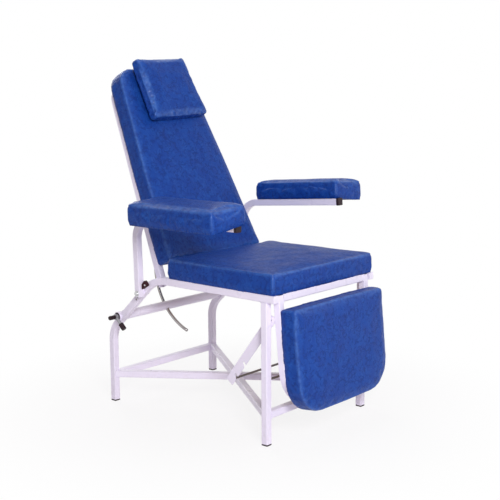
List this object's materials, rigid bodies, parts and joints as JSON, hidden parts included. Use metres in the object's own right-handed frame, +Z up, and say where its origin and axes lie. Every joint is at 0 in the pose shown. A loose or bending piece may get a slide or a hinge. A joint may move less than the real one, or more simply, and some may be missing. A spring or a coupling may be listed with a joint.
{
  "type": "phlebotomy chair",
  "caption": "Padded reclining chair on a square-tube frame, with tipping armrests, a head pillow and a swing-up calf rest held by notched stays.",
  "frame": {"origin": "on the floor, under the middle of the chair's bounding box", "axes": "+Z up; the sitter faces -Y; +X is the sitter's left and the base's width"},
  "size_m": [0.8904, 1.0051, 1.2893],
  "materials": {
    "white_paint": "satin powder coat",
    "blue_vinyl": "satin vinyl-coated upholstery cloth, mottled blue",
    "black_plastic": "matte",
    "black_rubber": "matte",
    "plywood": "raw",
    "bright_rod": "polished",
    "dark_steel": "dull",
    "plated_steel": "zinc plated",
    "lever_steel": "satin grey",
    "hook_tape": "woven"
  },
  "bodies": {
    "base": {"side_frame_right": "white_paint", "side_frame_left": "white_paint", "front_leg_right": "white_paint", "front_leg_left": "white_paint", "lower_front_rail": "white_paint", "lower_rear_rail": "white_paint", "seat_rail_front": "white_paint", "seat_rail_rear": "white_paint", "floor_brace_right": "white_paint", "floor_brace_left": "white_paint", "catch_rod": "dark_steel", "foot_plugs": "black_plastic", "rail_end_caps": "white_paint", "recline_cross_tube": "white_paint", "clamp_bushes": "black_plastic", "seat_board": "plywood", "seat_cushion": "blue_vinyl", "back_hinge_pins": "plated_steel", "back_hinge_washers": "plated_steel", "calf_hinge_pins": "plated_steel", "arm_stop_right": "black_rubber", "arm_stop_left": "black_rubber", "arm_stop_rivets": "plated_steel", "arm_bolts": "plated_steel"},
    "backrest": {"back_frame": "white_paint", "back_bar_lower": "white_paint", "back_bar_upper": "white_paint", "back_board": "plywood", "back_pad": "blue_vinyl", "head_pillow": "blue_vinyl", "pillow_tapes": "hook_tape", "arc_rod": "bright_rod"},
    "recline_lever": {"clamp_spindle": "plated_steel", "lever_arm": "lever_steel", "lever_knob": "black_plastic", "lever_cap": "black_plastic"},
    "armrest_right": {"arm_tube_right": "white_paint", "arm_end_cap_right": "black_plastic", "arm_board_right": "plywood", "arm_pad_right": "blue_vinyl"},
    "armrest_left": {"arm_tube_left": "white_paint", "arm_end_cap_left": "black_plastic", "arm_board_left": "plywood", "arm_pad_left": "blue_vinyl"},
    "calf_rest": {"calf_frame": "white_paint", "calf_top_bar": "white_paint", "stay_lugs": "white_paint", "stay_pins": "plated_steel", "calf_board": "plywood", "calf_pad": "blue_vinyl"},
    "ratchet_stay": {"notched_bar_right": "white_paint", "notched_bar_left": "white_paint", "stay_rod": "dark_steel"}
  },
  "joints": [
    {"name": "back_recline", "type": "hinge", "parent": "base", "child": "backrest", "pos_m": [0, 0.1487, 0.4861], "axis": [-1, 0, 0], "range_deg": [-5, 64]},
    {"name": "recline_lever", "type": "hinge", "parent": "base", "child": "recline_lever", "pos_m": [-0.3, 0.34181, 0.33503], "axis": [-1, 0, 0], "range_deg": [0, 45]},
    {"name": "armrest_right", "type": "hinge", "parent": "base", "child": "armrest_right", "pos_m": [-0.29415, 0.2097, 0.44198], "axis": [-1, 0, 0], "range_deg": [0, 85]},
    {"name": "armrest_left", "type": "hinge", "parent": "base", "child": "armrest_left", "pos_m": [0.29415, 0.2097, 0.44198], "axis": [-1, 0, 0], "range_deg": [-4.2, 80.8]},
    {"name": "calf_rest", "type": "hinge", "parent": "base", "child": "calf_rest", "pos_m": [0, -0.3943, 0.495], "axis": [-1, 0, 0], "range_deg": [0, 85.5]},
    {"name": "ratchet_stay", "type": "hinge", "parent": "calf_rest", "child": "ratchet_stay", "pos_m": [0, -0.37473, 0.42179], "axis": [1, 0, 0], "range_deg": [0, 74]}
  ],
  "couplings": [
    {"joint": "ratchet_stay", "follows": "calf_rest", "ratio": 0.8641}
  ]
}
